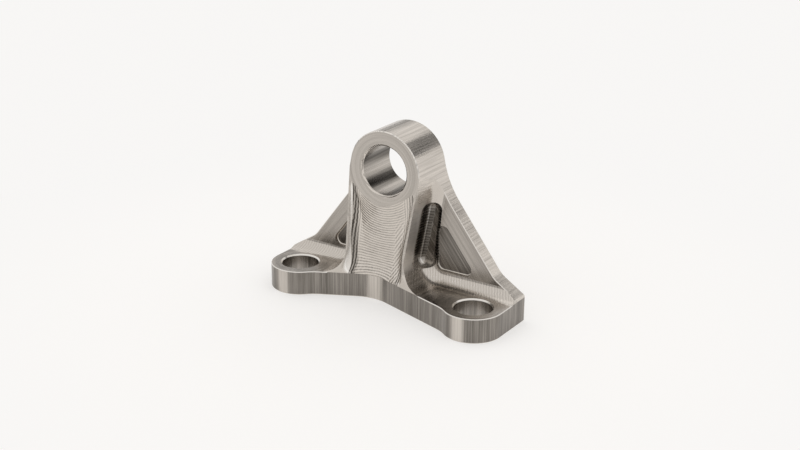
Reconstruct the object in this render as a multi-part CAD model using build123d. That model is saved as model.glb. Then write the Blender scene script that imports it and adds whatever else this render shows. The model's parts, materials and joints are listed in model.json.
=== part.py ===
from build123d import *
import math
import os

# One machined bracket: a flat foot with two bolt lugs, a triangular web standing on its back edge,
# and a bored boss at the top, carried by a scooped central rib that runs down to the foot.
# Millimetres, Z up. X runs along the line of the bolt holes and -Y is the front.
# The rib and the waist of the foot are set towards -X, so the two halves are not mirror images.
# The shape is worked out with its back face on Y = 0 and is moved onto the origin at the end,
# which is the middle of the underside of the overall box.

# Foot
foot_thickness = 9.0
bolt_spacing = 74.0
bolt_hole_diameter = 13.5
lug_radius = 10.8
bolt_line_depth = 17.5
waist_x = -7.2
waist_depth = 13.1
waist_radius = 15.0
lug_step = 1.4
lug_blend_radius = 14.0

# Boss
bore_diameter = 18.0
bore_height = 51.0
boss_diameter = 28.6
boss_length = 17.6

# Web
web_thickness = 6.0
knee_x = 38.5
knee_z = 15.6
diagonal_angle = 52.5
toe_rise = 0.8
shoulder_blend_radius = 34.0
knee_blend_radius = 9.0
toe_round_radius = 1.2

# Central rib
flank_lean = 3.75
rib_tilt = 7.25
flank_spread = 7.0
flank_stand_off = 0.1
sweep_start_z = 17.0
sweep_radius = 12.0

# Inside corners left by the ball-ended cutters
rib_foot_radius = 9.0
web_corner_radius = 4.5

# Scooped front of the rib. At each height the middle and the sides of the trough's floor are
# given as distances from the back face.
crest_land = 0.7
scoop_wall_run = 1.5
scoop_least_wall = 0.2
scoop_top_z = 47.0
scoop_top_middle = 19.6
scoop_top_side = 18.4
scoop_edge_z = 42.0
scoop_edge_middle = 18.5
scoop_edge_side = 17.0
scoop_high_z = 37.0
scoop_high_middle = 17.4
scoop_high_side = 15.9
scoop_mid_z = 30.0
scoop_mid_middle = 15.9
scoop_mid_side = 14.9
scoop_low_z = 20.0
scoop_low_middle = 14.3
scoop_low_side = 14.2
scoop_sweep_z = 13.0
scoop_sweep_middle = 13.8
scoop_sweep_side = 14.6
scoop_lip_z = 9.0
scoop_lip_middle = 14.7
scoop_lip_side = 17.5
scoop_foot_z = 7.0
scoop_foot_middle = 16.0
scoop_foot_side = 19.6
scoop_corner_rise = 2.5

# Corner hollow and web recess, cut to one depth in the web
pocket_depth = 1.2
hollow_radius = 3.0
hollow_sill = 5.0
hollow_flank_depth = 0.7
hollow_setback = 4.4
hollow_width_top = 6.2
hollow_width_bottom = 8.5
right_hollow_top_z = 39.5
left_hollow_top_z = 31.0
recess_inner_x = 15.0
recess_margin = 6.3
recess_sill = 4.8
recess_corner_radius = 2.6
recess_floor_radius = 0.5

# Edge finish
edge_break = 0.35
foot_rim_break = 0.25
bore_chamfer = 0.6
bolt_hole_chamfer = 0.5

# Sizes that follow from the ones above
half_spacing = bolt_spacing / 2
half_width = half_spacing + lug_radius
foot_depth = bolt_line_depth + lug_radius
boss_radius = boss_diameter / 2
bore_radius = bore_diameter / 2
bolt_hole_radius = bolt_hole_diameter / 2
total_height = bore_height + boss_radius
web_front = -web_thickness
toe_height = foot_thickness + toe_rise
RIGHT, LEFT = 1, -1

# Allowances used only while cutting, and the places along an edge that are tested
clearance = 20.0
overlap = 1.0
touching = 0.02
through = 2 * total_height
along_edge = (0.0, 0.5, 1.0)


def every_point(edge, test):
    """True when the test holds at both ends and at the middle of the edge."""
    return all(test(edge.position_at(share)) for share in along_edge)


def side_end(side):
    """Where the straight front side of the foot passes closest to the centre of a lug."""
    run_x = side * half_spacing - waist_x
    run_y = waist_depth - bolt_line_depth
    span = math.hypot(run_x, run_y)
    inner_radius = lug_radius - lug_step
    turn = math.atan2(run_y, run_x) - side * math.asin(inner_radius / span)
    length = math.sqrt(span**2 - inner_radius**2)
    return (waist_x + length * math.cos(turn), -waist_depth + length * math.sin(turn))


# Plan outline of the foot: two round lugs and two straight front sides that meet at a round waist.
with BuildSketch(Plane.XY) as plan_sketch:
    Polygon(
        (waist_x, -waist_depth),
        side_end(RIGHT),
        (half_spacing, -bolt_line_depth),
        (half_width, -bolt_line_depth),
        (half_width, 0),
        (-half_width, 0),
        (-half_width, -bolt_line_depth),
        (-half_spacing, -bolt_line_depth),
        side_end(LEFT),
        align=None,
    )
    with Locations((half_spacing, -bolt_line_depth), (-half_spacing, -bolt_line_depth)):
        Circle(lug_radius)
    fillet(plan_sketch.vertices().sort_by_distance((waist_x, -waist_depth, 0))[0], waist_radius)
    for side in (RIGHT, LEFT):
        near = (*side_end(side), 0)
        fillet(plan_sketch.vertices().sort_by_distance(near)[0], lug_blend_radius)
foot = extrude(plan_sketch.sketch, foot_thickness)
envelope = extrude(plan_sketch.sketch, sweep_start_z)

# Web profile seen from the front: straight diagonals, blended into the boss above and into the
# flatter toes below. The blend circle touches both the boss circle and the diagonal.
along_x = math.cos(math.radians(diagonal_angle))
along_z = -math.sin(math.radians(diagonal_angle))
out_x = -along_z
out_z = along_x
centre_gap = knee_x * out_x + (knee_z - bore_height) * out_z
blend_run = math.sqrt(
    (boss_radius + shoulder_blend_radius) ** 2 - (centre_gap + shoulder_blend_radius) ** 2
)
blend_end = (
    centre_gap * out_x + blend_run * along_x,
    bore_height + centre_gap * out_z + blend_run * along_z,
)
blend_centre = (
    (centre_gap + shoulder_blend_radius) * out_x + blend_run * along_x,
    bore_height + (centre_gap + shoulder_blend_radius) * out_z + blend_run * along_z,
)
blend_share = boss_radius / (boss_radius + shoulder_blend_radius)
blend_start = (
    blend_centre[0] * blend_share,
    bore_height + (blend_centre[1] - bore_height) * blend_share,
)
half_chord = (
    (blend_start[0] + blend_end[0]) / 2 - blend_centre[0],
    (blend_start[1] + blend_end[1]) / 2 - blend_centre[1],
)
half_chord_length = math.hypot(half_chord[0], half_chord[1])
blend_mid = (
    blend_centre[0] + half_chord[0] / half_chord_length * shoulder_blend_radius,
    blend_centre[1] + half_chord[1] / half_chord_length * shoulder_blend_radius,
)
quarter = math.radians(45.0)
boss_quarter = (boss_radius * math.sin(quarter), bore_height + boss_radius * math.cos(quarter))

with BuildSketch(Plane.XZ) as web_sketch:
    with BuildLine():
        ThreePointArc((0, total_height), boss_quarter, blend_start)
        ThreePointArc(blend_start, blend_mid, blend_end)
        Line(blend_end, (knee_x, knee_z))
        Line((knee_x, knee_z), (half_width, toe_height))
        Line((half_width, toe_height), (half_width, 0))
        Line((half_width, 0), (0, 0))
        Line((0, 0), (0, total_height))
    make_face()
    fillet(web_sketch.vertices().sort_by_distance((knee_x, knee_z, 0))[0], knee_blend_radius)
    fillet(web_sketch.vertices().sort_by_distance((half_width, toe_height, 0))[0], toe_round_radius)
    mirror(about=Plane.YZ)

# The room beside the rib is cleared up to just above the start of the shoulder blend.
room_top_z = blend_start[1] + overlap


def lean_of(side):
    """Angle at which the flank on that side leans in on the way down. Below zero it leans out."""
    return math.radians(flank_lean + side * rib_tilt)


def flank_x(side, z):
    """Distance of the rib's front edge on that side from the bore's plane, below the boss."""
    lean = lean_of(side)
    top_z = bore_height - boss_radius * math.sin(lean)
    return boss_radius * math.cos(lean) - (top_z - z) * math.tan(lean)


def rib_core(side):
    """Half of the rib drawn towards +X: a cone about the bore, and a flat flank that touches it."""
    lean = lean_of(side)
    spread = math.radians(flank_spread)
    front_radius = boss_radius + flank_stand_off
    back_radius = front_radius + boss_length * math.tan(spread)
    far_radius = front_radius - clearance * math.tan(spread)
    cone = Pos(0, -(boss_length + clearance) / 2, bore_height) * Rot(90, 0, 0) * Cone(
        back_radius, far_radius, boss_length + clearance
    )
    touch_point = (
        front_radius * math.cos(lean),
        -boss_length,
        bore_height - front_radius * math.sin(lean),
    )
    flank_normal = (
        math.cos(spread) * math.cos(lean),
        -math.sin(spread),
        -math.cos(spread) * math.sin(lean),
    )
    inside = (Align.CENTER, Align.CENTER, Align.MAX)
    behind_flank = Plane(origin=touch_point, z_dir=flank_normal) * Box(
        through, through, total_height, align=inside
    )
    below_touch = Plane(
        origin=(0, 0, bore_height), z_dir=(math.sin(lean), 0, math.cos(lean))
    ) * Box(through, through, through, align=inside)
    return cone + (behind_flank & below_touch)


def room(side):
    """Space cleared beside the rib, drawn towards +X: in front of the web and above the foot."""
    far_x = half_width + clearance
    block = Pos(0, web_front, foot_thickness) * Box(
        far_x, foot_depth - web_thickness + overlap, room_top_z - foot_thickness,
        align=(Align.MIN, Align.MAX, Align.MIN),
    )
    space = (block - rib_core(side)).solids().sort_by(Axis.X)[-1]
    flank_foot = space.edges().filter_by(
        lambda e: every_point(e, lambda p: abs(p.Z - foot_thickness) < touching)
        and abs(e.position_at(0).Y - e.position_at(1).Y) > overlap
        and e.center().X < far_x - overlap
    )
    space = fillet(flank_foot, rib_foot_radius)
    web_edges = space.edges().filter_by(
        lambda e: every_point(e, lambda p: abs(p.Y - web_front) < touching)
        and e.center().X < far_x - overlap
        and e.center().Z < blend_start[1]
    )
    return fillet(web_edges, web_corner_radius)


# The stock: full depth up to where the rib's front starts to sweep, the depth of the boss above.
blank = extrude(web_sketch.sketch, foot_depth) & envelope
above_sweep = Pos(0, 0, sweep_start_z) * Box(
    2 * half_width, 2 * boss_length, total_height, align=(Align.CENTER, Align.CENTER, Align.MIN)
)
upper = extrude(web_sketch.sketch, boss_length) & above_sweep
boss_rim = upper.edges().filter_by(
    lambda e: every_point(e, lambda p: abs(p.Y + boss_length) < touching)
    and e.center().Z > bore_height
)
upper = chamfer(boss_rim, edge_break)
stock = foot + blank + upper

# Below that height the front sweeps forward over the lugs.
sweep_mid_z = (sweep_start_z + foot_thickness) / 2


def front_reach(z):
    """Distance from the back face to the front of the rib at height z."""
    drop = min(max(sweep_start_z - z, 0.0), sweep_radius)
    return boss_length + sweep_radius - math.sqrt(sweep_radius**2 - drop**2)


with BuildSketch(Plane.YZ) as sweep_sketch:
    with BuildLine():
        ThreePointArc(
            (-boss_length, sweep_start_z),
            (-front_reach(sweep_mid_z), sweep_mid_z),
            (-front_reach(foot_thickness), foot_thickness),
        )
        Line((-front_reach(foot_thickness), foot_thickness), (-foot_depth - overlap, foot_thickness))
        Line((-foot_depth - overlap, foot_thickness), (-foot_depth - overlap, sweep_start_z))
        Line((-foot_depth - overlap, sweep_start_z), (-boss_length, sweep_start_z))
    make_face()
sweep = extrude(sweep_sketch.sketch, half_width + overlap, both=True)
right_room = room(RIGHT)
left_room = mirror(room(LEFT), about=Plane.YZ)
body = stock - [right_room, left_room, sweep]


def on_foot_rim(point):
    """True on the front and side rims of the flat top of the foot."""
    on_outline = plan_wire.distance_to(Vertex(point.X, point.Y, 0)) < touching
    return abs(point.Z - foot_thickness) < touching and on_outline and point.Y < web_front


# Edge breaks on the outside, made before the scoop so that its crests stay crisp.
plan_wire = plan_sketch.sketch.faces()[0].outer_wire()
foot_rims = body.edges().filter_by(lambda e: every_point(e, on_foot_rim))
body = chamfer(foot_rims, foot_rim_break)
flat_back_edges = body.edges().filter_by(
    lambda e: every_point(e, lambda p: abs(p.Z) < touching)
    or every_point(e, lambda p: abs(p.Y) < touching)
)
body = chamfer(flat_back_edges, edge_break)


def foot_flare(z):
    """How far the corner radius at the foot widens the rib at height z."""
    above = min(max(z - foot_thickness, scoop_corner_rise), rib_foot_radius)
    return rib_foot_radius - math.sqrt(rib_foot_radius**2 - (rib_foot_radius - above) ** 2)


def crest_x(side, z):
    """Distance from the bore's plane to the inner edge of the land along the rib's edge."""
    lean = lean_of(side)
    top_z = bore_height - boss_radius * math.sin(lean)
    return flank_x(side, min(z, top_z)) + foot_flare(z) - crest_land


def scoop_section(z, middle_reach, side_reach):
    """Trough outline at height z: a shallow arc between two hollow walls."""
    crest_reach = max(front_reach(z), side_reach + scoop_least_wall)
    rise = crest_reach - side_reach
    run = scoop_wall_run * rise
    wall_turn = 2 * math.atan(rise / run)
    wall_radius = run / math.sin(wall_turn)
    half_run = wall_radius * math.sin(wall_turn / 2)
    half_rise = wall_radius * (1 - math.cos(wall_turn / 2))
    open_reach = foot_depth + clearance
    open_run = (open_reach - crest_reach) / math.tan(wall_turn)
    right_crest = crest_x(RIGHT, z)
    left_crest = -crest_x(LEFT, z)
    right_root = right_crest - run
    left_root = left_crest + run
    with BuildSketch(Plane.XY.offset(z)) as section:
        with BuildLine():
            ThreePointArc(
                (left_root, -side_reach),
                ((left_root + right_root) / 2, -middle_reach),
                (right_root, -side_reach),
            )
            ThreePointArc(
                (right_root, -side_reach),
                (right_root + half_run, -side_reach - half_rise),
                (right_crest, -crest_reach),
            )
            Line((right_crest, -crest_reach), (right_crest + open_run, -open_reach))
            Line((right_crest + open_run, -open_reach), (left_crest - open_run, -open_reach))
            Line((left_crest - open_run, -open_reach), (left_crest, -crest_reach))
            ThreePointArc(
                (left_crest, -crest_reach),
                (left_root - half_run, -side_reach - half_rise),
                (left_root, -side_reach),
            )
        make_face()
    return section.sketch


scoop = loft(
    [
        scoop_section(scoop_foot_z, scoop_foot_middle, scoop_foot_side),
        scoop_section(scoop_lip_z, scoop_lip_middle, scoop_lip_side),
        scoop_section(scoop_sweep_z, scoop_sweep_middle, scoop_sweep_side),
        scoop_section(scoop_low_z, scoop_low_middle, scoop_low_side),
        scoop_section(scoop_mid_z, scoop_mid_middle, scoop_mid_side),
        scoop_section(scoop_high_z, scoop_high_middle, scoop_high_side),
        scoop_section(scoop_edge_z, scoop_edge_middle, scoop_edge_side),
        scoop_section(scoop_top_z, scoop_top_middle, scoop_top_side),
    ]
)
body = body - scoop


# Corner hollow on each side: a tapering block with every edge rounded, set a little into the flank
# and the web. It is drawn towards +X.
def hollow(side, top_z):
    """Corner hollow beside the rib, up to the given height."""
    low_z = foot_thickness + hollow_sill
    low_x = flank_x(side, low_z) - hollow_flank_depth
    high_x = flank_x(side, top_z) - hollow_flank_depth
    with BuildSketch(Plane.XZ.offset(web_thickness - pocket_depth)) as outline:
        Polygon(
            (low_x, low_z),
            (low_x + hollow_width_bottom, low_z),
            (high_x + hollow_width_top, top_z),
            (high_x, top_z),
            align=None,
        )
    hollow_depth = boss_length - hollow_setback - web_thickness + pocket_depth
    block = extrude(outline.sketch, hollow_depth)
    return fillet(block.edges(), hollow_radius)


right_hollow = hollow(RIGHT, right_hollow_top_z)
left_hollow = mirror(hollow(LEFT, left_hollow_top_z), about=Plane.YZ)

# Blind recess in the front of the web on each side, its long side parallel to the diagonal edge.
recess_line = centre_gap - recess_margin
recess_sill_z = foot_thickness + recess_sill
recess_outer_x = (recess_line - (recess_sill_z - bore_height) * out_z) / out_x
recess_top_z = bore_height + (recess_line - recess_inner_x * out_x) / out_z
with BuildSketch(Plane.XZ.offset(web_thickness - pocket_depth)) as recess_sketch:
    Polygon(
        (recess_inner_x, recess_sill_z),
        (recess_outer_x, recess_sill_z),
        (recess_inner_x, recess_top_z),
        align=None,
    )
    fillet(recess_sketch.vertices(), recess_corner_radius)
recess = extrude(recess_sketch.sketch, 2 * pocket_depth)
recess = fillet(recess.faces().sort_by(Axis.Y)[-1].edges(), recess_floor_radius)
body = body - [right_hollow, left_hollow, recess, mirror(recess, about=Plane.YZ)]

# Bore for the pin and the two bolt holes, each with a chamfered rim at both ends.
bore = Pos(0, 0, bore_height) * Rot(90, 0, 0) * Cylinder(bore_radius, through)
bolt_holes = [
    Pos(side * half_spacing, -bolt_line_depth, 0) * Cylinder(bolt_hole_radius, through)
    for side in (LEFT, RIGHT)
]
body = body - [bore, *bolt_holes]


def on_bore(point):
    """True on the wall of the bore."""
    return abs(math.hypot(point.X, point.Z - bore_height) - bore_radius) < touching


def on_bolt_hole(point):
    """True on the wall of either bolt hole."""
    offset = math.hypot(abs(point.X) - half_spacing, point.Y + bolt_line_depth)
    return abs(offset - bolt_hole_radius) < touching


bore_rims = body.edges().filter_by(
    lambda e: e.geom_type != GeomType.LINE and every_point(e, on_bore)
)
body = chamfer(bore_rims, bore_chamfer)
bolt_hole_rims = body.edges().filter_by(
    lambda e: e.geom_type != GeomType.LINE and every_point(e, on_bolt_hole)
)
body = chamfer(bolt_hole_rims, bolt_hole_chamfer)

# The middle of the underside becomes the origin.
bracket = Pos(0, foot_depth / 2, 0) * body.solids()[0]
os.makedirs("parts", exist_ok=True)
export_step(bracket, "parts/bracket.step")
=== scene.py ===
import json
import math
from collections import namedtuple

import bpy
from mathutils import Matrix, Vector


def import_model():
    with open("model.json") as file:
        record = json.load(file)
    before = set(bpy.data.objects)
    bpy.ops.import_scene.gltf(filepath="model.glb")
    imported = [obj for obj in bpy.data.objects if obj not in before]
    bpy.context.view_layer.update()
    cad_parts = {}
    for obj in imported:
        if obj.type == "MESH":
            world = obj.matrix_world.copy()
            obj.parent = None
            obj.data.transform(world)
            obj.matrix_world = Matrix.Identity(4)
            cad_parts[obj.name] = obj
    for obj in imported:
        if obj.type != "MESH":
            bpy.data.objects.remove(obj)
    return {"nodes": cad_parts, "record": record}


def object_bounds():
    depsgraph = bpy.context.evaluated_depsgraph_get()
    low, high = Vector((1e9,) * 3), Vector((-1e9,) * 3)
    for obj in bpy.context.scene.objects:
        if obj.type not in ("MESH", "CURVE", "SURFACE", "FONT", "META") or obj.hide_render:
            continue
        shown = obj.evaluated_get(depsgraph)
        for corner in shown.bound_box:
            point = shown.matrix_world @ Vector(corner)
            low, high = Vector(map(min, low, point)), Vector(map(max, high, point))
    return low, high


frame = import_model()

cad_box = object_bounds()
MM = 0.001

# Main dimensions of the bracket in millimetres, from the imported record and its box.
MOUNTS = {mount["name"]: mount for mount in frame["record"]["mounts"]}
BACK_Y = cad_box[1].y / MM
BORE_Z = MOUNTS["pin_bore"]["pos_m"][2] / MM
BORE_RADIUS = MOUNTS["pin_bore"]["dims"]["r_mm"]
HOLE_X = MOUNTS["foot_bolts"]["dims"]["spacing_x_mm"] / 2
HOLE_Y = MOUNTS["foot_bolts"]["pos_m"][1] / MM
HOLE_RADIUS = MOUNTS["foot_bolts"]["dims"]["hole_r_mm"]
FOOT_TOP = MOUNTS["foot_bolts"]["pos_m"][2] / MM

# How far each front face stands out from the back face, and how wide a broken edge is.
BOSS_REACH = 17.6
WEB_REACH = 6.0
RECESS_REACH = 4.8
EDGE_BREAK = 0.35

# The rib's two crests lean differently, so its middle and half width both change with height.
CREST_TOP = 47.0
MIDDLE_LEAN = 0.127
HALF_WIDTH_TOP = 14.2
HALF_WIDTH_LEAN = 0.067

# The crests stand out least at the rib's waist, and more with the square of the distance above or
# below it.
WAIST_Z = 20.0
WAIST_REACH = 14.2
WAIST_CURVE = 0.0058

# Where the crests get a painted highlight: their half width, and how far they end below their top
# and behind the boss's face.
CREST_HALF_WIDTH = 0.9
CREST_TO_TOP = 1.0
CREST_TO_BOSS_FACE = 0.2

# The web's slanted edge: the slant of its normal, and how far out along it the edge lies.
SLOPE_X, SLOPE_Z = 0.793, 0.609
SLOPE_LINE = 35.8

# Middle of the arcs that the facing cutter left on the back.
BACK_ARC_X, BACK_ARC_Z = -75.0, 30.0

# The scoop's marks: how far out they start, the Y share of a normal at which they end, and the
# plain land that they leave beside each crest.
SCOOP_REACH = 13.2
SCOOP_FACING = -0.25
CREST_LAND = 1.0

# The steps in the scoop curve across the rib: their bend at the base, and its change with height.
STEP_BEND_AT_BASE = -0.028
STEP_BEND_GROWTH = 0.0018

# Direction across the hatched passes on the scoop's right side.
HATCH_X, HATCH_Z = 0.8, -0.55

# Painted shade on the scoop's side strips: their marks drop by this, on the left by twice as much.
STRIP_PAINTED_SHADE = 0.35

# Cutter passes: how far apart they are and how far they waver, in the scoop and in the corners
# beside the rib.
SCOOP_PITCH, SCOOP_WAVER = 0.95, 0.5
CORNER_PITCH, CORNER_WAVER = 1.1, 0.9

# Limits of the hollow's painted shade: how far it runs along the web, and how far it stays off
# the web's edge.
HOLLOW_ACROSS = 21.0
HOLLOW_TO_SLOPE = 0.5

# Limits of the wide radii down to the foot, and the slant of the ticks on them.
CORNER_REACH = 17.0
CORNER_TOP = 20.0
CORNER_TURN = 0.08
TICK_SLANT = 0.6

# The flank's paler zone starts this far inside the crest.
FLANK_INSIDE = 1.2

# Depths to which the rims of the boss and of the foot get a painted highlight, and the width of the
# bore's own rim, which doesn't.
BOSS_RIM_DEPTH = 0.62
FOOT_RIM_DEPTH = 0.55
BORE_RIM = 1.0

# How many soft painted reflection bands the bore has, and how fast noise changes along the lines
# that a cutter draws.
BORE_REFLECTION_BANDS = 6
LENGTHWISE = 0.03

# How far off a surface a place may lie and still count as on it: a flat face, the wall of a hole,
# the top of the foot, and a broken edge.
FACE_SLACK = 0.1
HOLE_SLACK = 0.15
FOOT_SLACK = 0.05
EDGE_SLACK = 0.02

# A normal's share along an axis: on a face square to it, on a broken edge, and on an upright wall.
SQUARE = 0.97
EDGE_LEAST, EDGE_MOST = 0.5, 0.9
UPRIGHT_MOST = 0.3

# Colours are linear.
BACKDROP = (0.937, 0.925, 0.913, 1.0)
FLOOR = (0.60, 0.594, 0.585, 1.0)
METAL = (0.68, 0.632, 0.578, 1.0)
# The dark tone, which some zones also use for painted shade.
METAL_DARK = (0.07, 0.062, 0.053, 1.0)
# A painted highlight's tone, for broken edges, the rib's crests and its flanks.
METAL_HIGHLIGHT = (0.90, 0.88, 0.85, 1.0)
LAMP_COLOUR = (1.0, 0.985, 0.96)

# Share of the dark tone in plain metal, and of the painted highlight's tone on broken edges, crests and
# flanks.
PLAIN_SHADE = 0.12
RIM_HIGHLIGHT = 0.35
FOOT_RIM_HIGHLIGHT = 0.50
CREST_HIGHLIGHT = 0.50
FLANK_HIGHLIGHT = 0.70

# Roughness of plain metal, and what a mark of 1 and a flank add to it.
ROUGHNESS = 0.24
MARK_ROUGHNESS = 0.10
FLANK_ROUGHNESS = 0.20

# Levels of the light: the world as matt surfaces get it, and the floor's own share of the backdrop.
AMBIENT = 0.85
FLOOR_FILL = 0.50

# The floor in metres: its side, and the distances between which it turns into backdrop.
FLOOR_SIDE = 8.0
FLOOR_FADE_FROM = 0.07
FLOOR_FADE_TO = 0.20

# The photograph's view, solved in degrees and millimetres. The near and far limits are in metres.
AZIMUTH, ELEVATION, ROLL = 33.03, 20.56, 0.52
CAMERA_PLACE = (252.74, -381.64, 201.78)
LENS = 62.26
SENSOR_WIDTH = 36.0
NEAR, FAR = 0.01, 20.0

# Numbers of the Mix node's sockets for colours.
MIX_SHARE, MIX_FIRST, MIX_SECOND, MIX_RESULT = 0, 6, 7, 2

# What a cut leaves: where it lies, its marks, which are mostly between -0.5 and 0.5, how dark it
# is beside plain metal, how strongly the marks change the tone, and their depth in millimetres. In
# some zones the shade and the marks also carry painted shade or painted reflections.
Finish = namedtuple("Finish", "zone marks shade contrast depth")


class Graph:
    """Builds the nodes of one material, so that a formula reads like one."""

    def __init__(self, tree):
        self.tree = tree
        self.tree.nodes.clear()

    def node(self, kind, **settings):
        made = self.tree.nodes.new("ShaderNode" + kind)
        for name, value in settings.items():
            setattr(made, name, value)
        return made

    def feed(self, socket, value):
        """Links an output to a socket, or sets the socket to a number or a colour."""
        if isinstance(value, bpy.types.NodeSocket):
            self.tree.links.new(value, socket)
        else:
            socket.default_value = value

    def result(self, made, *values):
        """Feeds a node's sockets in their order, and gives its first output."""
        for socket, value in zip(made.inputs, values):
            self.feed(socket, value)
        return made.outputs[0]

    def output(self, shader, kind="OutputMaterial"):
        self.feed(self.node(kind).inputs["Surface"], shader)

    def math(self, operation, *values, clamp=False):
        return self.result(self.node("Math", operation=operation, use_clamp=clamp), *values)

    def chain(self, operation, total, *values):
        """Applies one operation along all the values, from the left."""
        for value in values:
            total = self.math(operation, total, value)
        return total

    def add(self, *values):
        return self.chain("ADD", *values)

    def times(self, *values):
        return self.chain("MULTIPLY", *values)

    def largest(self, *values):
        return self.chain("MAXIMUM", *values)

    def minus(self, a, b):
        return self.math("SUBTRACT", a, b)

    def size(self, a):
        """The number without its sign."""
        return self.math("ABSOLUTE", a)

    def less(self, a, b):
        return self.math("LESS_THAN", a, b)

    def more(self, a, b):
        return self.math("GREATER_THAN", a, b)

    def between(self, value, low, high):
        return self.times(self.more(value, low), self.less(value, high))

    def other(self, share):
        """1 where the share is 0, and 0 where it is 1."""
        return self.math("SUBTRACT", 1.0, share, clamp=True)

    def blend(self, share, a, b):
        """The first value where the share is 0, and the second where it is 1."""
        return self.add(self.times(a, self.other(share)), self.times(b, share))

    def hypot(self, a, b):
        return self.math("SQRT", self.add(self.times(a, a), self.times(b, b)))

    def wave(self, value, pitch, strength=1.0):
        """A ridge every pitch, from -0.5 to 0.5 times the strength."""
        return self.times(self.math("SINE", self.times(value, 2 * math.pi / pitch)), 0.5 * strength)

    def ramp(self, value, none_at, full_at, strength=1.0):
        """0 at one limit and the strength at the other, smooth between. Either may be the larger."""
        made = self.node("MapRange", interpolation_type="SMOOTHSTEP", clamp=True)
        return self.times(self.result(made, value, none_at, full_at), strength)

    def within(self, value, rises, falls):
        """1 between two pairs of limits, with a smooth rise across one and a fall across the other."""
        rise = self.ramp(value, none_at=rises[0], full_at=rises[1])
        return self.times(rise, self.ramp(value, none_at=falls[1], full_at=falls[0]))

    def vector(self, x, y, z):
        return self.result(self.node("CombineXYZ"), x, y, z)

    def parts(self, vector):
        made = self.node("SeparateXYZ")
        self.feed(made.inputs[0], vector)
        return made.outputs

    def noise(self, x, y, z, detail=3.0, roughness=0.5, strength=1.0):
        """Noise from about -0.5 to 0.5 times the strength, at coordinates that are already scaled."""
        made = self.node("TexNoise", noise_dimensions="3D")
        self.feed(made.inputs["Vector"], self.vector(x, y, z))
        self.feed(made.inputs["Scale"], 1.0)
        self.feed(made.inputs["Detail"], detail)
        self.feed(made.inputs["Roughness"], roughness)
        return self.times(self.minus(made.outputs["Fac"], 0.5), strength)

    def mix(self, share, a, b):
        made = self.node("Mix", data_type="RGBA")
        self.feed(made.inputs[MIX_SHARE], share)
        self.feed(made.inputs[MIX_FIRST], a)
        self.feed(made.inputs[MIX_SECOND], b)
        return made.outputs[MIX_RESULT]

    def glow(self, level=1.0):
        """A shader that shines in the backdrop's colour, whatever the light."""
        made = self.node("Emission")
        self.feed(made.inputs["Color"], BACKDROP)
        self.feed(made.inputs["Strength"], level)
        return made.outputs[0]


class Surface(Graph):
    """Graph of the bracket's metal, with places in millimetres and the turn of the surface."""

    def __init__(self, tree):
        super().__init__(tree)
        place = self.parts(self.node("TexCoord").outputs["Object"])
        self.x, self.y, self.z = (self.times(part, 1 / MM) for part in place)
        self.nx, self.ny, self.nz = self.parts(self.node("NewGeometry").outputs["Normal"])
        self.across = self.size(self.x)
        self.reach = self.minus(BACK_Y, self.y)
        self.above_bore = self.minus(self.z, BORE_Z)
        self.from_bore = self.hypot(self.x, self.above_bore)
        self.from_hole = self.hypot(self.minus(self.across, HOLE_X), self.minus(self.y, HOLE_Y))
        self.up_slope = self.add(self.times(self.across, SLOPE_X), self.times(self.z, SLOPE_Z))
        self.place_on_rib()
        self.tell_faces_apart()
        self.wobble = self.stretched_noise(x_fineness=0.35, y_fineness=0.0, z_fineness=0.9, detail=2.0)

    def place_on_rib(self):
        """How far the surface is from the rib's middle, and from the nearer crest inwards."""
        from_top = self.minus(self.z, CREST_TOP)
        half_width = self.add(HALF_WIDTH_TOP, self.times(from_top, HALF_WIDTH_LEAN))
        self.from_middle = self.minus(self.x, self.times(from_top, MIDDLE_LEAN))
        self.to_crest = self.minus(half_width, self.size(self.from_middle))

    def tell_faces_apart(self):
        """1 on the foot or above it, in a hole, and on the faces that look to the front."""
        self.on_foot = self.less(self.z, FOOT_TOP + FOOT_SLACK)
        self.above_foot = self.more(self.z, FOOT_TOP + FOOT_SLACK)
        near_bore = self.less(self.from_bore, BORE_RADIUS + HOLE_SLACK)
        near_hole = self.less(self.from_hole, HOLE_RADIUS + HOLE_SLACK)
        self.in_bore = self.times(near_bore, self.less(self.size(self.ny), EDGE_LEAST))
        self.in_hole = self.times(near_hole, self.less(self.size(self.nz), EDGE_LEAST))
        self.in_no_hole = self.times(self.other(self.in_bore), self.other(self.in_hole))
        self.front = self.times(self.less(self.ny, -SQUARE), self.above_foot)
        self.boss_face = self.times(self.front, self.more(self.reach, BOSS_REACH - FACE_SLACK))

    def front_face(self, reach):
        """1 on the flat front faces that stand out this far."""
        return self.times(self.front, self.between(self.reach, reach - FACE_SLACK, reach + FACE_SLACK))

    def stretched_noise(self, x_fineness, y_fineness, z_fineness, **settings):
        """Noise that changes faster along the axes of higher fineness."""
        return self.noise(
            self.times(self.x, x_fineness),
            self.times(self.y, y_fineness),
            self.times(self.z, z_fineness),
            **settings,
        )

    def lines_along_y(self, fineness, strength=1.0):
        return self.stretched_noise(fineness, LENGTHWISE, fineness, roughness=0.6, strength=strength)

    def upright_lines(self, fineness, strength=1.0):
        return self.stretched_noise(fineness, fineness, LENGTHWISE, roughness=0.6, strength=strength)

    def patches(self, fineness, strength=1.0):
        return self.stretched_noise(fineness, fineness, fineness, strength=strength)

    def lines_by(self, distance, fineness, x_drift, y_drift=0.0):
        """Lines that follow one distance, and change slowly along X and Y."""
        return self.noise(
            self.times(distance, fineness), self.times(self.x, x_drift), self.times(self.y, y_drift)
        )

    def slope_lines(self):
        """Lines along the web's slanted edges."""
        return self.lines_by(self.up_slope, fineness=1.3, x_drift=0.05)

    def passes(self, along, pitch, waver):
        """Ridges that a cutter left a pitch apart, each a little uneven."""
        return self.wave(self.add(along, self.times(self.wobble, waver)), pitch)

    def patchy(self, marks, fineness, level, swing):
        """The same marks, stronger in some places than in others."""
        return self.times(marks, self.add(level, self.patches(fineness, strength=swing)))


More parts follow.
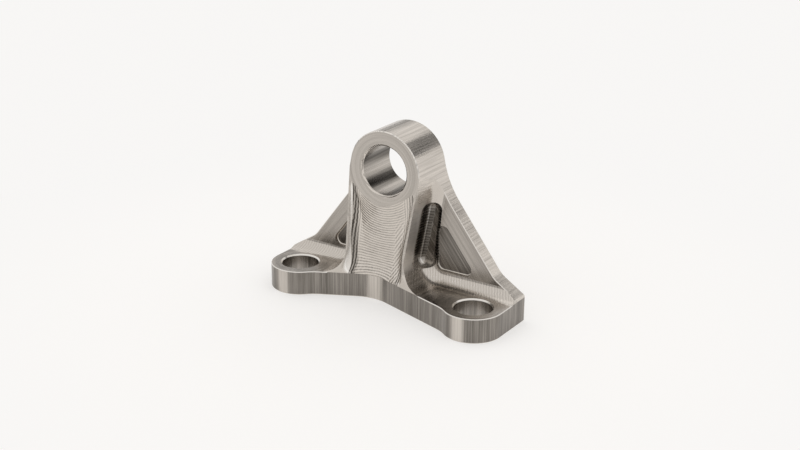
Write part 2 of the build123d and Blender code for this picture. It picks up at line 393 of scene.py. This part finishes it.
def profile_finish(g):
    """The boss round, the web edges and the shoulders, cut along the bore."""
    zone = g.times(g.ramp(g.size(g.ny), none_at=0.40, full_at=0.10), g.above_foot, g.in_no_hole)
    marks = g.add(g.lines_along_y(fineness=1.35), g.lines_along_y(fineness=0.30, strength=0.35))
    return Finish(zone, marks, shade=0.0, contrast=1.05, depth=0.045)


def foot_wall_marks_and_painted_sheen(g):
    """The foot's side, cut by the side of an end mill. A painted reflection makes it paler where the wall
    runs along X.
    """
    wall = g.times(g.less(g.size(g.nz), UPRIGHT_MOST), g.less(g.ny, EDGE_MOST))
    zone = g.times(wall, g.on_foot, g.other(g.in_hole))
    marks = g.add(
        g.upright_lines(fineness=1.7, strength=0.8),
        g.upright_lines(fineness=0.25, strength=0.5),
        # Painted reflection: paler where the wall runs along X.
        g.ramp(g.size(g.nx), none_at=0.30, full_at=0.10, strength=0.68),
    )
    return Finish(zone, marks, shade=0.60, contrast=0.85, depth=0.030)


def bore_marks_and_painted_bands(g):
    """The bore, with soft painted reflection bands along it."""
    angle = g.math("ARCTAN2", g.x, g.above_bore)
    # Painted reflections: bands one after another round the bore.
    bands = g.wave(angle, pitch=2 * math.pi / BORE_REFLECTION_BANDS, strength=0.75)
    marks = g.add(bands, g.lines_along_y(fineness=1.1, strength=0.8))
    return Finish(g.in_bore, marks, shade=0.50, contrast=0.85, depth=0.020)


def bolt_hole_finish(g):
    marks = g.add(g.upright_lines(fineness=1.0), g.upright_lines(fineness=0.35, strength=0.9))
    return Finish(g.in_hole, marks, shade=0.40, contrast=1.0, depth=0.020)


def boss_face_finish(g):
    """The turned ring round the bore."""
    rings = g.lines_by(g.from_bore, fineness=1.2, x_drift=0.03)
    return Finish(g.boss_face, rings, shade=0.21, contrast=0.70, depth=0.018)


def back_face_finish(g):
    """The flat back, faced in one pass of wide arcs from top to bottom."""
    from_arc_middle = g.hypot(g.minus(g.x, BACK_ARC_X), g.minus(g.z, BACK_ARC_Z))
    arcs = g.lines_by(from_arc_middle, fineness=0.9, x_drift=0.02)
    return Finish(g.more(g.ny, SQUARE), arcs, shade=0.12, contrast=0.60, depth=0.016)


def web_margin_finish(g):
    """The web's front outside its recess."""
    return Finish(g.front_face(WEB_REACH), g.slope_lines(), shade=0.36, contrast=0.60, depth=0.018)


def web_recess_marks_and_painted_shade(g):
    """The floors of the web's recess and of the hollows beside the rib, cut to one depth, in a tone
    darkened as painted shade.
    """
    # Painted shade: the recess floors get a darker tone.
    return Finish(g.front_face(RECESS_REACH), g.slope_lines(), shade=0.71, contrast=0.75, depth=0.024)


def foot_top_marks_and_painted_shade(g):
    """The foot's top, faced in swirls round the bolt holes, with painted shade near the rib."""
    zone = g.times(g.more(g.nz, SQUARE), g.on_foot)
    marks = g.add(
        g.lines_by(g.from_hole, fineness=1.1, x_drift=0.05, y_drift=0.05),
        g.patches(fineness=0.28, strength=0.6),
        # Painted shade: lower marks, and so a darker tone, near the rib.
        g.ramp(g.across, none_at=34.0, full_at=20.0, strength=-0.35),
    )
    return Finish(zone, marks, shade=0.20, contrast=0.60, depth=0.016)


def scoop_passes(g):
    """Curved steps in the scoop, hatched on its right side, with upright lines on its walls."""
    bend = g.add(g.times(g.z, STEP_BEND_GROWTH), STEP_BEND_AT_BASE)
    curved = g.times(bend, g.from_middle, g.from_middle)
    steps = g.passes(g.minus(g.z, curved), SCOOP_PITCH, SCOOP_WAVER)
    slanting = g.add(g.times(g.x, HATCH_X), g.times(g.z, HATCH_Z))
    hatch = g.passes(slanting, SCOOP_PITCH, SCOOP_WAVER)
    wall_lines = g.passes(g.from_middle, SCOOP_PITCH, SCOOP_WAVER)
    right_of_middle = g.ramp(g.from_middle, none_at=4.5, full_at=7.0)
    on_right = g.times(right_of_middle, g.ramp(g.z, none_at=36.0, full_at=28.0))
    at_wall = g.ramp(g.size(g.from_middle), none_at=8.0, full_at=10.0)
    return g.blend(at_wall, g.blend(on_right, steps, hatch), wall_lines)


def scoop_marks_and_painted_shade(g):
    """The rib's hollowed front, with a step for each pass of a ball mill, and painted shade along its
    sides.
    """
    marks = g.patchy(scoop_passes(g), fineness=0.22, level=0.8, swing=1.6)
    # Painted shade on strips along the scoop's sides, stronger on the left.
    shaded_side_strip = g.within(g.to_crest, rises=(0.5, 1.0), falls=(2.4, 3.4))
    left_extra_shade = g.ramp(g.from_middle, none_at=0.0, full_at=-4.0, strength=STRIP_PAINTED_SHADE)
    marks = g.minus(marks, g.times(shaded_side_strip, g.add(STRIP_PAINTED_SHADE, left_extra_shade)))
    hollowed = g.times(g.less(g.ny, SCOOP_FACING), g.more(g.reach, SCOOP_REACH), g.above_foot)
    zone = g.times(hollowed, g.more(g.to_crest, CREST_LAND), g.other(g.boss_face))
    return Finish(zone, marks, shade=0.0, contrast=0.90, depth=0.085)


def hollow_marks_and_painted_shade(g):
    """The corner between rib and web, with painted shade, and rough marks from the ball mill's tip."""
    deep = g.times(g.ramp(g.reach, none_at=10.2, full_at=8.4), g.less(g.across, HOLLOW_ACROSS))
    tall = g.within(g.z, rises=(13.0, 19.0), falls=(34.0, 43.0))
    off_slope = g.less(g.up_slope, SLOPE_LINE - HOLLOW_TO_SLOPE)
    inside_web = g.times(off_slope, g.more(g.reach, RECESS_REACH - FACE_SLACK))
    zone = g.times(deep, tall, inside_web, g.other(g.front), g.in_no_hole)
    # Painted shade: a dark tone in the corner between rib and web.
    return Finish(zone, g.passes(g.z, CORNER_PITCH, CORNER_WAVER), shade=0.86, contrast=0.20, depth=0.020)


def corner_finish(g):
    """The wide cutter radii down to the foot, with short ticks across them."""
    curve = g.times(g.between(g.nz, CORNER_TURN, SQUARE), g.less(g.z, CORNER_TOP))
    before_web = g.between(g.reach, WEB_REACH + EDGE_SLACK, CORNER_REACH)
    slanting = g.add(g.across, g.times(g.y, TICK_SLANT))
    ticks = g.patchy(g.passes(slanting, CORNER_PITCH, CORNER_WAVER), fineness=0.5, level=0.5, swing=2.0)
    zone = g.times(curve, before_web, g.above_foot)
    return Finish(zone, ticks, shade=0.08, contrast=0.30, depth=0.014)


# Each gives a zone's marks and tone; some of these tones are painted shade or painted reflections.
CUTS = (
    profile_finish,
    foot_wall_marks_and_painted_sheen,
    bore_marks_and_painted_bands,
    bolt_hole_finish,
    boss_face_finish,
    back_face_finish,
    web_margin_finish,
    web_recess_marks_and_painted_shade,
    foot_top_marks_and_painted_shade,
    scoop_marks_and_painted_shade,
    hollow_marks_and_painted_shade,
    corner_finish,
)


def rib_flank(g):
    """1 on the rib's rougher sides, with a painted lighter tone, fading out upwards, downwards and towards
    the web.
    """
    outside_crest = g.ramp(g.to_crest, none_at=-2.4, full_at=-0.8)
    beside_crest = g.times(g.less(g.to_crest, FLANK_INSIDE), outside_crest)
    along_rib = g.within(g.z, rises=(11.0, 20.0), falls=(CREST_TOP - 14.0, CREST_TOP - 2.0))
    sideways = g.ramp(g.size(g.ny), none_at=0.6, full_at=0.3)
    before_web = g.ramp(g.reach, none_at=8.5, full_at=12.0)
    return g.times(sideways, before_web, beside_crest, along_rib, g.above_foot)


def rib_crest(g):
    """1 on the rib's two crests, below the boss."""
    from_waist = g.minus(g.z, WAIST_Z)
    crest_reach = g.add(WAIST_REACH, g.times(from_waist, from_waist, WAIST_CURVE))
    out = g.ramp(g.minus(g.reach, crest_reach), none_at=-1.5, full_at=-0.3)
    narrow = g.less(g.size(g.to_crest), CREST_HALF_WIDTH)
    below_top = g.less(g.z, CREST_TOP - CREST_TO_TOP)
    behind_boss_face = g.less(g.reach, BOSS_REACH - CREST_TO_BOSS_FACE)
    return g.times(out, narrow, g.above_foot, below_top, behind_boss_face)


def painted_edge_highlights(g, flank):
    """Share of the painted highlight: on the broken edges, the rib's crests and its flanks."""
    web_rim = g.between(g.reach, WEB_REACH - EDGE_BREAK - EDGE_SLACK, WEB_REACH - EDGE_SLACK / 2)
    boss_rim = g.between(g.reach, BOSS_REACH - BOSS_RIM_DEPTH, BOSS_REACH + FACE_SLACK)
    boss_rim = g.times(boss_rim, g.more(g.from_bore, BORE_RADIUS + BORE_RIM))
    back_rim = g.less(g.reach, EDGE_BREAK + EDGE_SLACK)
    slanted = g.between(g.size(g.ny), EDGE_LEAST, EDGE_MOST)
    rims = g.times(slanted, g.largest(web_rim, boss_rim, back_rim), g.above_foot, RIM_HIGHLIGHT)
    at_foot_top = g.between(g.z, FOOT_TOP - FOOT_RIM_DEPTH, FOOT_TOP + EDGE_SLACK)
    foot_rim = g.times(g.between(g.nz, EDGE_LEAST, EDGE_MOST), at_foot_top, FOOT_RIM_HIGHLIGHT)
    crest = rib_crest(g)
    # Painted highlights on the crests, and a painted lighter tone on the flanks.
    crests = g.add(g.times(crest, CREST_HIGHLIGHT), g.times(flank, g.other(crest), FLANK_HIGHLIGHT))
    return g.add(rims, foot_rim, crests)


def blank_material(name):
    made = bpy.data.materials.new(name)
    made.use_nodes = True
    return made


def machined_metal():
    """Bare metal, with the marks that each cut leaves on its own surface, painted shade in some zones and
    painted highlights on edges, crests and flanks.
    """
    material = blank_material("machined_metal")
    g = Surface(material.node_tree)
    finishes = [cut(g) for cut in CUTS]
    marks = [g.times(cut.zone, cut.marks) for cut in finishes]
    shades = [g.times(cut.zone, cut.shade) for cut in finishes]
    tones = [g.times(mark, -cut.contrast) for mark, cut in zip(marks, finishes)]
    depths = [g.times(mark, cut.depth) for mark, cut in zip(marks, finishes)]
    dark_share = g.math("ADD", g.add(*shades), g.add(PLAIN_SHADE, *tones), clamp=True)
    flank = rib_flank(g)
    marks_roughness = g.times(g.add(*marks), MARK_ROUGHNESS)
    bump = g.node("Bump")
    g.feed(bump.inputs["Strength"], 1.0)
    g.feed(bump.inputs["Distance"], MM)
    g.feed(bump.inputs["Height"], g.add(g.patches(fineness=7.0, strength=0.0015), *depths))
    shader = g.node("BsdfPrincipled")
    g.feed(shader.inputs["Metallic"], 1.0)
    # The metal's tone, darkened in some zones by painted shade, then painted highlights on edges, crests
    # and flanks.
    metal_tone = g.mix(dark_share, METAL, METAL_DARK)
    g.feed(shader.inputs["Base Color"], g.mix(painted_edge_highlights(g, flank), metal_tone, METAL_HIGHLIGHT))
    roughness = g.add(ROUGHNESS, marks_roughness, g.times(flank, FLANK_ROUGHNESS))
    g.feed(shader.inputs["Roughness"], roughness)
    g.feed(shader.inputs["Normal"], bump.outputs[0])
    g.output(shader.outputs[0])
    return material


def seen_by_eye_or_metal(g):
    """1 for camera, glossy and transmission rays, and 0 for those that light matt surfaces."""
    path = g.node("LightPath").outputs
    return g.largest(path["Is Camera Ray"], path["Is Glossy Ray"], path["Is Transmission Ray"])


def floor_material():
    """A pale floor that takes the object's shadow and fades into the backdrop away from it."""
    material = blank_material("pale_floor")
    g = Graph(material.node_tree)
    x, y, _ = g.parts(g.node("TexCoord").outputs["Object"])
    away = g.ramp(g.hypot(x, y), none_at=FLOOR_FADE_FROM, full_at=FLOOR_FADE_TO)
    seen = seen_by_eye_or_metal(g)
    matt = g.result(g.node("BsdfDiffuse"), FLOOR)
    near = g.result(g.node("AddShader"), matt, g.glow(g.times(seen, FLOOR_FILL)))
    g.output(g.result(g.node("MixShader"), g.times(away, seen), near, g.glow()))
    return material


def even_tone(name, level):
    """A surface of one even tone, whatever the light."""
    material = blank_material(name)
    g = Graph(material.node_tree)
    g.output(g.glow(level))
    return material


def in_scene(name, data):
    made = bpy.data.objects.new(name, data)
    bpy.context.scene.collection.objects.link(made)
    return made


def flat_panel(name, width, depth, material):
    mesh = bpy.data.meshes.new(name)
    half_width, half_depth = width / 2, depth / 2
    corners = [
        (-half_width, -half_depth, 0),
        (half_width, -half_depth, 0),
        (half_width, half_depth, 0),
        (-half_width, half_depth, 0),
    ]
    mesh.from_pydata(corners, [], [(0, 1, 2, 3)])
    mesh.materials.append(material)
    made = in_scene(name, mesh)
    return made


def aimed(obj, place, target, spin=0.0):
    """Puts a lamp or card at a place, facing the target, turned about that line."""
    turn = (Vector(target) - Vector(place)).to_track_quat("-Z", "Y").to_matrix().to_4x4()
    obj.matrix_world = Matrix.Translation(place) @ turn @ Matrix.Rotation(spin, 4, "Z")


def card(name, place, target, width, height, level, spin=0.0):
    """A card of one tone that shows only in the metal's reflections."""
    made = flat_panel(name, width, height, even_tone(name, level))
    aimed(made, place, target, spin)
    made.visible_camera = False
    made.visible_diffuse = False
    made.visible_shadow = False


def softbox(name, place, target, width, height, radiance):
    data = bpy.data.lights.new(name, "AREA")
    data.shape = "RECTANGLE"
    data.size, data.size_y = width, height
    data.energy = radiance * math.pi * width * height
    data.color = LAMP_COLOUR
    lamp = in_scene(name, data)
    aimed(lamp, place, target)
    lamp.visible_camera = False


def world():
    """An even, pale room."""
    made = bpy.data.worlds.new("pale_room")
    bpy.context.scene.world = made
    made.use_nodes = True
    g = Graph(made.node_tree)
    level = g.add(AMBIENT, g.times(seen_by_eye_or_metal(g), 1.0 - AMBIENT))
    g.output(g.result(g.node("Background"), BACKDROP, level), kind="OutputWorld")


def camera():
    """The photograph's view: solved place, turn and lens."""
    azimuth, elevation, roll = (math.radians(angle) for angle in (AZIMUTH, ELEVATION, ROLL))
    level = Vector((-math.sin(azimuth), math.cos(azimuth), 0))
    forward = level * math.cos(elevation) - Vector((0, 0, math.sin(elevation)))
    right = Vector((math.cos(azimuth), math.sin(azimuth), 0))
    up = right.cross(forward)
    across = right * math.cos(roll) + up * math.sin(roll)
    upward = up * math.cos(roll) - right * math.sin(roll)
    data = bpy.data.cameras.new("camera")
    data.sensor_width = SENSOR_WIDTH
    data.lens = LENS
    data.clip_start, data.clip_end = NEAR, FAR
    made = in_scene("camera", data)
    turn = Matrix((across, upward, -forward)).transposed()
    made.matrix_world = Matrix.Translation(Vector(CAMERA_PLACE) * MM) @ turn.to_4x4()
    bpy.context.scene.camera = made


bpy.context.scene.view_settings.view_transform = "Standard"
bracket = frame["nodes"]["bracket"]
bracket.data.materials.clear()
bracket.data.materials.append(machined_metal())
flat_panel("floor", FLOOR_SIDE, FLOOR_SIDE, floor_material())

# A weak light from above. The small dark card gives the boss its dark band, and the mid-tone card
# darkens the surfaces that look up.
softbox("top_softbox", place=(-0.20, 0.25, 0.9), target=(0, 0, 0.03), width=0.7, height=0.5, radiance=0.25)
card(
    "boss_card",
    place=(0.085, 0.163, 0.152),
    target=(0.010, 0.0, 0.060),
    width=0.115,
    height=0.044,
    level=0.02,
    spin=0.62,
)
card("back_card", place=(-0.49, 0.70, 0.28), target=(0, 0, 0.05), width=0.30, height=0.26, level=0.42)

world()
camera()
